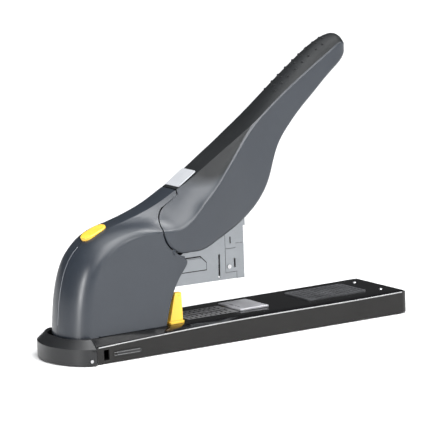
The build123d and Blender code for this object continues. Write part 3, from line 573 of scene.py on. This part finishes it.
def strap_gap_shadow(material):
    """Dark plates behind the arm's straps, one on each side, that show round them as painted shadow in the gap."""
    bm = bmesh.new()
    for side in (-1, 1):
        rings = [[bm.verts.new(place(x, side * y, z)) for x, z in STRAP_GAP] for y in STRAP_GAP_Y]
        for ring in rings:
            bm.faces.new(ring)
        count = len(STRAP_GAP)
        for i in range(count):
            j = (i + 1) % count
            bm.faces.new((rings[0][i], rings[0][j], rings[1][j], rings[1][i]))
    bmesh.ops.recalc_face_normals(bm, faces=bm.faces)
    obj = finish_mesh("strap_gap_shadow", bm, "arm", material, smooth=False)


# Materials ------------------------------------------------------------------------------------

class Nodes:
    """Short hand for building a material's node tree."""

    def __init__(self, name):
        self.material = bpy.data.materials.new(name)
        self.material.use_nodes = True
        self.tree = self.material.node_tree
        self.shader = self.tree.nodes["Principled BSDF"]
        self.where = self.add("ShaderNodeTexCoord").outputs["Object"]

    def add(self, kind, **values):
        """A new node with some of its settings."""
        node = self.tree.nodes.new(kind)
        for key, value in values.items():
            setattr(node, key, value)
        return node

    def link(self, output, target):
        """Joins an output to an input."""
        self.tree.links.new(output, target)

    def scaled(self, scale):
        """The object's coordinates, stretched by a scale for each axis."""
        mapping = self.add("ShaderNodeMapping")
        mapping.inputs["Scale"].default_value = scale
        self.link(self.where, mapping.inputs["Vector"])
        return mapping.outputs["Vector"]

    def noise(self, scale, detail=3.0, rough=0.55, stretch=(1, 1, 1)):
        """Noise in the object's own space, from 0 to 1, its scale in features per metre."""
        node = self.add("ShaderNodeTexNoise")
        node.inputs["Scale"].default_value = scale
        node.inputs["Detail"].default_value = detail
        node.inputs["Roughness"].default_value = rough
        self.link(self.scaled(stretch), node.inputs["Vector"])
        return node.outputs["Fac"]

    def spread(self, value, low, high, start=0.3, end=0.7):
        """Maps a value's range from start to end onto the range from low to high."""
        node = self.add("ShaderNodeMapRange")
        node.inputs["From Min"].default_value = start
        node.inputs["From Max"].default_value = end
        node.inputs["To Min"].default_value = low
        node.inputs["To Max"].default_value = high
        self.link(value, node.inputs["Value"])
        return node.outputs["Result"]

    def blend(self, factor, low, high):
        """Mixes two colours, each a tuple or an output."""
        node = self.add("ShaderNodeMix", data_type="RGBA")
        for socket, value in ((node.inputs[6], low), (node.inputs[7], high)):
            if isinstance(value, tuple):
                socket.default_value = (*value, 1)
            else:
                self.link(value, socket)
        self.link(factor, node.inputs[0])
        return node.outputs[2]

    def math(self, kind, a, b):
        """One sum, product or other operation on two numbers or outputs."""
        node = self.add("ShaderNodeMath", operation=kind)
        for socket, value in zip(node.inputs, (a, b)):
            if isinstance(value, (int, float)):
                socket.default_value = value
            else:
                self.link(value, socket)
        return node.outputs[0]

    def bump(self, height, strength, distance, under=None):
        """Normal of a relief, its depth in millimetres, over another normal if there is one."""
        node = self.add("ShaderNodeBump")
        node.inputs["Strength"].default_value = strength
        node.inputs["Distance"].default_value = distance * MM
        self.link(height, node.inputs["Height"])
        if under is not None:
            self.link(under, node.inputs["Normal"])
        return node.outputs["Normal"]

    def crevice_shade(self, colour, depth, amount):
        """Darkens a colour in gaps and grooves narrower than depth millimetres: painted shade where they are shut
        in.
        """
        node = self.add("ShaderNodeAmbientOcclusion", samples=8)
        node.inputs["Distance"].default_value = depth * MM
        shut = self.spread(node.outputs["AO"], amount, 0, 0.35, 0.85)
        return self.blend(shut, colour, (0.004, 0.004, 0.004))

    def done(self, colour, rough, normal, metallic=0.0, specular=0.5):
        """Feeds the shader and gives the finished material."""
        self.link(colour, self.shader.inputs["Base Color"])
        self.link(rough, self.shader.inputs["Roughness"])
        self.link(normal, self.shader.inputs["Normal"])
        self.shader.inputs["Metallic"].default_value = metallic
        self.shader.inputs["Specular IOR Level"].default_value = specular
        return self.material


def shade(colour, factor):
    """A lighter or darker colour."""
    return tuple(min(c * factor, 1.0) for c in colour)


def moulded(name, colour, rough, grain=0.06, variation=0.10, scratch=0.03, specular=0.5, fades=False):
    """Moulded plastic: fine spark-eroded grain, faint flow marks, handling shine and hairline scratches."""
    n = Nodes(name)
    flow = n.noise(28, 4, 0.6)
    dusty = n.noise(210, 3, 0.7)
    mix = n.math("ADD", n.math("MULTIPLY", flow, 0.65), n.math("MULTIPLY", dusty, 0.35))
    base = n.blend(n.spread(mix, 0, 1), shade(colour, 1 - variation), shade(colour, 1 + variation))
    lines = n.noise(420, 2, 0.5, (0.06, 1, 1))
    marks = n.spread(lines, 0, 1, 0.72, 0.80)
    tinted = n.blend(n.math("MULTIPLY", marks, scratch * 8), base, shade(colour, 1.6))
    polish = n.spread(n.noise(45, 3, 0.6), rough - 0.05, rough + 0.06)
    rough_out = n.math("ADD", polish, n.math("MULTIPLY", marks, scratch))
    if fades:
        split = n.add("ShaderNodeSeparateXYZ")
        n.link(n.where, split.inputs[0])
        sideways = n.math("ABSOLUTE", split.outputs["Y"], 0)
        line = n.math("ADD", n.math("MULTIPLY", split.outputs["X"], FADE_SLOPE), FADE_HALF * MM)
        black = n.spread(n.math("SUBTRACT", line, sideways), 0, 1, -2 * FADE_SOFT * MM, FADE_SOFT * MM)
        tinted = n.blend(black, tinted, FADE_BLACK)
        rough_out = n.math("ADD", rough_out, n.math("MULTIPLY", black, 0.36))
    tiny = n.noise(2600, 2, 0.6)
    cells = n.add("ShaderNodeTexVoronoi", feature="F1")
    cells.inputs["Scale"].default_value = 1500
    n.link(n.where, cells.inputs["Vector"])
    height = n.math("ADD", n.math("MULTIPLY", tiny, 0.6), n.math("MULTIPLY", cells.outputs["Distance"], 0.4))
    normal = n.bump(height, grain, 0.03)
    normal = n.bump(n.noise(35, 2, 0.5), 0.10, 0.05, normal)
    # painted shade in the gaps and grooves
    tinted = n.crevice_shade(tinted, 1.0, 0.8)
    return n.done(tinted, rough_out, normal, specular=specular)


def painted(name, colour, rough, specular=0.5):
    """Powder-coated steel: orange peel, small specks and scuffs."""
    n = Nodes(name)
    cloud = n.noise(35, 5, 0.6)
    base = n.blend(n.spread(cloud, 0, 1), shade(colour, 0.82), shade(colour, 1.22))
    specks = n.spread(n.noise(900, 1, 0.4), 0, 1, 0.70, 0.76)
    base = n.blend(n.math("MULTIPLY", specks, 0.35), base, shade(colour, 2.4))
    scuffs = n.spread(n.noise(150, 3, 0.6, (0.12, 1, 1.0)), 0, 1, 0.66, 0.78)
    base = n.blend(n.math("MULTIPLY", scuffs, 0.18), base, shade(colour, 1.9))
    rough_out = n.math("ADD", n.spread(cloud, rough - 0.06, rough + 0.08), n.math("MULTIPLY", scuffs, 0.08))
    peel = n.bump(n.noise(950, 2, 0.5), 0.16, 0.05)
    peel = n.bump(n.noise(110, 2, 0.5), 0.10, 0.05, peel)
    return n.done(base, rough_out, peel, specular=specular)


def steel(name, colour, rough, brushed, spangle=0.10, tarnish=0.10, metallic=1.0):
    """Plated sheet steel: fine brushing, faint spangle, smudges, and edges and crevices darkened with painted
    shade.
    """
    n = Nodes(name)
    grain = n.noise(1500, 3, 0.6, brushed)
    broad = n.noise(60, 4, 0.6)
    cells = n.add("ShaderNodeTexVoronoi", feature="F1")
    cells.inputs["Scale"].default_value = 260
    n.link(n.where, cells.inputs["Vector"])
    flakes = n.add("ShaderNodeSeparateColor")
    n.link(cells.outputs["Color"], flakes.inputs["Color"])
    base = n.blend(n.spread(broad, 0, 1), shade(colour, 1 - tarnish), shade(colour, 1 + tarnish * 0.5))
    base = n.blend(n.math("MULTIPLY", flakes.outputs["Red"], spangle), base, shade(colour, 1.25))
    streaks = n.spread(n.noise(700, 2, 0.5, brushed), 0, 1, 0.60, 0.75)
    base = n.blend(n.math("MULTIPLY", streaks, 0.14), base, shade(colour, 0.6))
    # painted shade in the gaps and grooves
    base = n.crevice_shade(base, 1.2, 0.9)
    smudge = n.spread(broad, -0.05, 0.09)
    rough_out = n.math("ADD", n.math("ADD", smudge, rough), n.math("MULTIPLY", grain, 0.10))
    normal = n.bump(grain, 0.12, 0.02)
    normal = n.bump(n.noise(45, 2, 0.5), 0.15, 0.08, normal)
    return n.done(base, rough_out, normal, metallic=metallic)


def rubbery(name, colour, rough):
    """Matt rubber or soft plastic, mottled and finely grained."""
    n = Nodes(name)
    cloud = n.noise(90, 4, 0.7)
    base = n.blend(n.spread(cloud, 0, 1), shade(colour, 0.75), shade(colour, 1.5))
    normal = n.bump(n.noise(1800, 3, 0.6), 0.35, 0.06)
    return n.done(base, n.spread(cloud, rough - 0.06, rough + 0.06), normal, specular=0.35)


# The shells' grey, and how a grain is stretched along one axis by brushing.
GREY = (0.019, 0.0235, 0.031)
PLAIN = (1, 1, 1)
BRUSHED_X = (0.08, 1, 1)
BRUSHED_Y = (1, 0.06, 1)


def make_moulded():
    """Moulded plastics, by name."""
    return {
        "grey_shell": moulded("grey_shell", GREY, 0.33, grain=0.09, specular=0.55),
        "fading_shell": moulded("fading_shell", GREY, 0.33, grain=0.09, specular=0.48, fades=True),
        "satin_black": moulded(
            "satin_black", (0.012, 0.013, 0.014), 0.50, grain=0.12, variation=0.2, specular=0.18),
        "gloss_black": moulded(
            "gloss_black", (0.004, 0.004, 0.0045), 0.14, grain=0.02, variation=0.2, scratch=0.05),
        "dark_plastic": moulded(
            "dark_plastic", (0.011, 0.0115, 0.0125), 0.36, grain=0.08, variation=0.12, specular=0.42),
        "yellow_plastic": moulded(
            "yellow_plastic", (0.80, 0.49, 0.055), 0.30, grain=0.04, variation=0.04, scratch=0.01),
        # light grey for the painted highlight down the housing's back
        "seam_highlight_grey": moulded("seam_highlight_grey", (0.20, 0.21, 0.23), 0.30),
    }


def make_painted():
    """Painted steel, and the light paints of the painted highlight on its wall tops and of its ribs, by name."""
    return {
        "base_paint": painted("base_paint", (0.0085, 0.0080, 0.0076), 0.36, specular=0.28),
        # light paint for the painted highlight along the wall tops
        "wall_highlight_paint": painted("wall_highlight_paint", (0.30, 0.30, 0.305), 0.25),
        # a lighter grey than the wall's paint, for the slider's ribs
        "light_rib_paint": painted("light_rib_paint", (0.075, 0.075, 0.077), 0.30),
    }


def make_steels():
    """Plated and bare steels, by name."""
    return {
        "nickel_sheet": steel("nickel_sheet", (0.255, 0.268, 0.282), 0.34, BRUSHED_X),
        "zinc_steel": steel("zinc_steel", (0.40, 0.41, 0.425), 0.42, (0.1, 1, 1), spangle=0.25),
        "bright_steel": steel("bright_steel", (0.50, 0.50, 0.51), 0.22, PLAIN, spangle=0.02),
        "spring_steel": steel("spring_steel", (0.38, 0.38, 0.39), 0.30, PLAIN, spangle=0.02),
        "brushed_steel": steel(
            "brushed_steel", (0.36, 0.36, 0.38), 0.34, BRUSHED_Y, tarnish=0.25, metallic=0.35),
        "silver_plate": steel(
            "silver_plate", (0.46, 0.47, 0.495), 0.32, (1, 0.08, 1), spangle=0.0, metallic=0.2),
        "scale_grey": steel("scale_grey", (0.15, 0.15, 0.155), 0.36, BRUSHED_X, spangle=0.0, metallic=0.2),
    }


def make_rubbers():
    """Matt dark materials, by name."""
    return {
        "gap_shadow": rubbery("gap_shadow", (0.008, 0.008, 0.009), 0.70),
        "rubber": rubbery("rubber", (0.02, 0.02, 0.02), 0.65),
        "grip_black": rubbery("grip_black", (0.045, 0.046, 0.049), 0.50),
    }


def make_materials():
    """All the materials, by name; the yellow plastic lets a little light in."""
    made = make_moulded() | make_painted() | make_steels() | make_rubbers()
    yellow = made["yellow_plastic"].node_tree.nodes["Principled BSDF"]
    yellow.inputs["Subsurface Weight"].default_value = 0.12
    yellow.inputs["Subsurface Scale"].default_value = 1.5 * MM
    return made


# Width, in millimetres, of the softened edges of the CAD nodes that show them.
SOFT_EDGES = {
    "base_channel": 0.45, "base_cover": 0.35, "rear_cap": 0.45, "paper_guide": 0.5, "anvil_plate": 0.15,
    "badge_plate": 0.20, "driver_carrier": 0.25, "side_latch": 0.2,
}


def soften_edges(obj, width):
    """Rounds a CAD node's sharp edges for looks, leaving its mesh as it is."""
    join = obj.modifiers.new("join", "WELD")
    join.merge_threshold = 0.002 * MM
    bevel = obj.modifiers.new("edge", "BEVEL")
    bevel.width = width * MM
    bevel.segments = 2
    bevel.limit_method = "ANGLE"
    bevel.angle_limit = math.radians(35)
    bevel.harden_normals = False
    bevel.use_clamp_overlap = True
    obj.modifiers.new("shade", "WEIGHTED_NORMAL")


def dress_cad(materials):
    """Gives every CAD node its material, and softens the edges of those that show them."""
    slots = {s["node"]: s["material_slot"] for s in frame["record"]["subparts"]}
    for name, obj in frame["nodes"].items():
        obj.data.materials.clear()
        obj.data.materials.append(materials[slots[name]])
        if name in SOFT_EDGES:
            soften_edges(obj, SOFT_EDGES[name])


# Stage ----------------------------------------------------------------------------------------

# Each lamp: name, place, what it points at, its two sizes, and its power.
LAMPS = [
    ("left_strip", (-1.25, -0.50, 0.25), (-0.1, 0, 0.08), (0.12, 0.6), 10),
    ("overhead", (-0.10, -0.92, 1.28), (0, 0, 0.08), (1.3, 1.3), 35),
    ("edge", (1.0, -0.36, 1.53), (0, 0, 0.08), (0.5, 0.5), 12),
    ("ridge", (0.45, -1.40, 0.48), (0.02, 0, 0.14), (0.45, 0.3), 4.5),
]

# The camera: lens in millimetres, azimuth, elevation and roll, what it points at, and how far away.
CAMERA_LENS = 266.05
CAMERA_ANGLES = (-32.652, 9.877, 1.994)
CAMERA_TARGET = (1.45, 0, 85.23)
CAMERA_DISTANCE = 2.3069


def make_floor():
    """Pale floor with a painted glow that grows away from the object, brightening it into the white of the
    backdrop.
    """
    bm = bmesh.new()
    bmesh.ops.create_grid(bm, x_segments=1, y_segments=1, size=12)
    mesh = bpy.data.meshes.new("floor")
    bm.to_mesh(mesh)
    bm.free()
    floor = bpy.data.objects.new("floor", mesh)
    bpy.context.scene.collection.objects.link(floor)
    n = Nodes("floor")
    colour = n.blend(n.spread(n.noise(3, 3, 0.5), 0, 1), (0.79, 0.79, 0.79), (0.81, 0.81, 0.81))
    away = n.add("ShaderNodeVectorMath", operation="LENGTH")
    n.link(n.where, away.inputs[0])
    # painted glow: emission that grows with the distance from the object
    n.link(n.spread(away.outputs["Value"], 0, 0.6, 0.7, 2.5), n.shader.inputs["Emission Strength"])
    n.shader.inputs["Emission Color"].default_value = (1, 1, 1, 1)
    rough = n.spread(n.noise(5), 0.8, 0.9)
    mesh.materials.append(n.done(colour, rough, n.bump(n.noise(300), 0.02, 0.1), specular=0.1))


def make_world():
    """Soft dome: bright overhead, dim towards the back, and white where the camera sees it."""
    world = bpy.data.worlds.new("studio")
    bpy.context.scene.world = world
    world.use_nodes = True
    tree = world.node_tree
    tree.nodes.clear()
    out = tree.nodes.new("ShaderNodeOutputWorld")
    back = tree.nodes.new("ShaderNodeBackground")
    coordinates = tree.nodes.new("ShaderNodeTexCoord")
    split = tree.nodes.new("ShaderNodeSeparateXYZ")
    tree.links.new(coordinates.outputs["Generated"], split.inputs[0])

    def ramp(output, low, high, start, end):
        node = tree.nodes.new("ShaderNodeMapRange")
        node.interpolation_type = "SMOOTHSTEP"
        node.inputs["From Min"].default_value = start
        node.inputs["From Max"].default_value = end
        node.inputs["To Min"].default_value = low
        node.inputs["To Max"].default_value = high
        tree.links.new(output, node.inputs["Value"])
        return node.outputs["Result"]

    def add(a, b):
        node = tree.nodes.new("ShaderNodeMath")
        node.operation = "ADD"
        tree.links.new(a, node.inputs[0])
        tree.links.new(b, node.inputs[1])
        return node.outputs[0]

    overhead = ramp(split.outputs["Z"], 0.0, 2.6, 0.80, 0.97)
    front = ramp(split.outputs["Y"], 0.42, 0.06, -0.7, 0.4)
    tree.links.new(add(overhead, front), back.inputs["Strength"])
    back.inputs["Color"].default_value = (0.97, 0.985, 1.0, 1)
    seen = tree.nodes.new("ShaderNodeBackground")
    seen.inputs["Color"].default_value = (1, 1, 1, 1)
    choice = tree.nodes.new("ShaderNodeMixShader")
    tree.links.new(tree.nodes.new("ShaderNodeLightPath").outputs["Is Camera Ray"], choice.inputs[0])
    tree.links.new(back.outputs[0], choice.inputs[1])
    tree.links.new(seen.outputs[0], choice.inputs[2])
    tree.links.new(choice.outputs[0], out.inputs["Surface"])


def area_light(name, at, towards, size, power):
    """Soft rectangular lamp; places and sizes in metres, power in watts."""
    data = bpy.data.lights.new(name, "AREA")
    data.shape = "RECTANGLE"
    data.size, data.size_y = size
    data.energy = power
    lamp = bpy.data.objects.new(name, data)
    bpy.context.scene.collection.objects.link(lamp)
    lamp.location = at
    lamp.rotation_mode = "QUATERNION"
    lamp.rotation_quaternion = (Vector(towards) - Vector(at)).to_track_quat("-Z", "Y")


def make_camera():
    """Long lens from the front left, a little above the base, tilted two degrees."""
    data = bpy.data.cameras.new("camera")
    data.lens = CAMERA_LENS
    data.sensor_width = 36.0
    data.clip_end = 60
    camera = bpy.data.objects.new("camera", data)
    bpy.context.scene.collection.objects.link(camera)
    azimuth, elevation, roll = (math.radians(a) for a in CAMERA_ANGLES)
    level = math.cos(elevation)
    back = Vector((math.sin(azimuth) * level, -math.cos(azimuth) * level, math.sin(elevation)))
    right = (-back).cross(Vector((0, 0, 1))).normalized()
    up = right.cross(-back)
    tilted_right = right * math.cos(roll) - up * math.sin(roll)
    tilted_up = right * math.sin(roll) + up * math.cos(roll)
    camera.matrix_world = Matrix((tilted_right, tilted_up, back)).transposed().to_4x4()
    camera.location = place(*CAMERA_TARGET) + back * CAMERA_DISTANCE
    bpy.context.scene.camera = camera


def main():
    bpy.context.scene.view_settings.view_transform = "Standard"
    make_camera()
    make_world()
    make_floor()
    for lamp in LAMPS:
        area_light(*lamp)
    materials = make_materials()
    dress_cad(materials)
    for side in (-1, 1):
        housing_half(side, materials["grey_shell"])
        handle_half(side, materials["grey_shell"], materials["fading_shell"])
    handle_top(materials["satin_black"])
    grip_studs(materials["satin_black"])
    handle_lips(materials["satin_black"])
    wall_edges(materials["wall_highlight_paint"])
    latch_ribs(materials["light_rib_paint"])
    housing_seam(materials["seam_highlight_grey"])
    strap_gap_shadow(materials["gap_shadow"])


main()
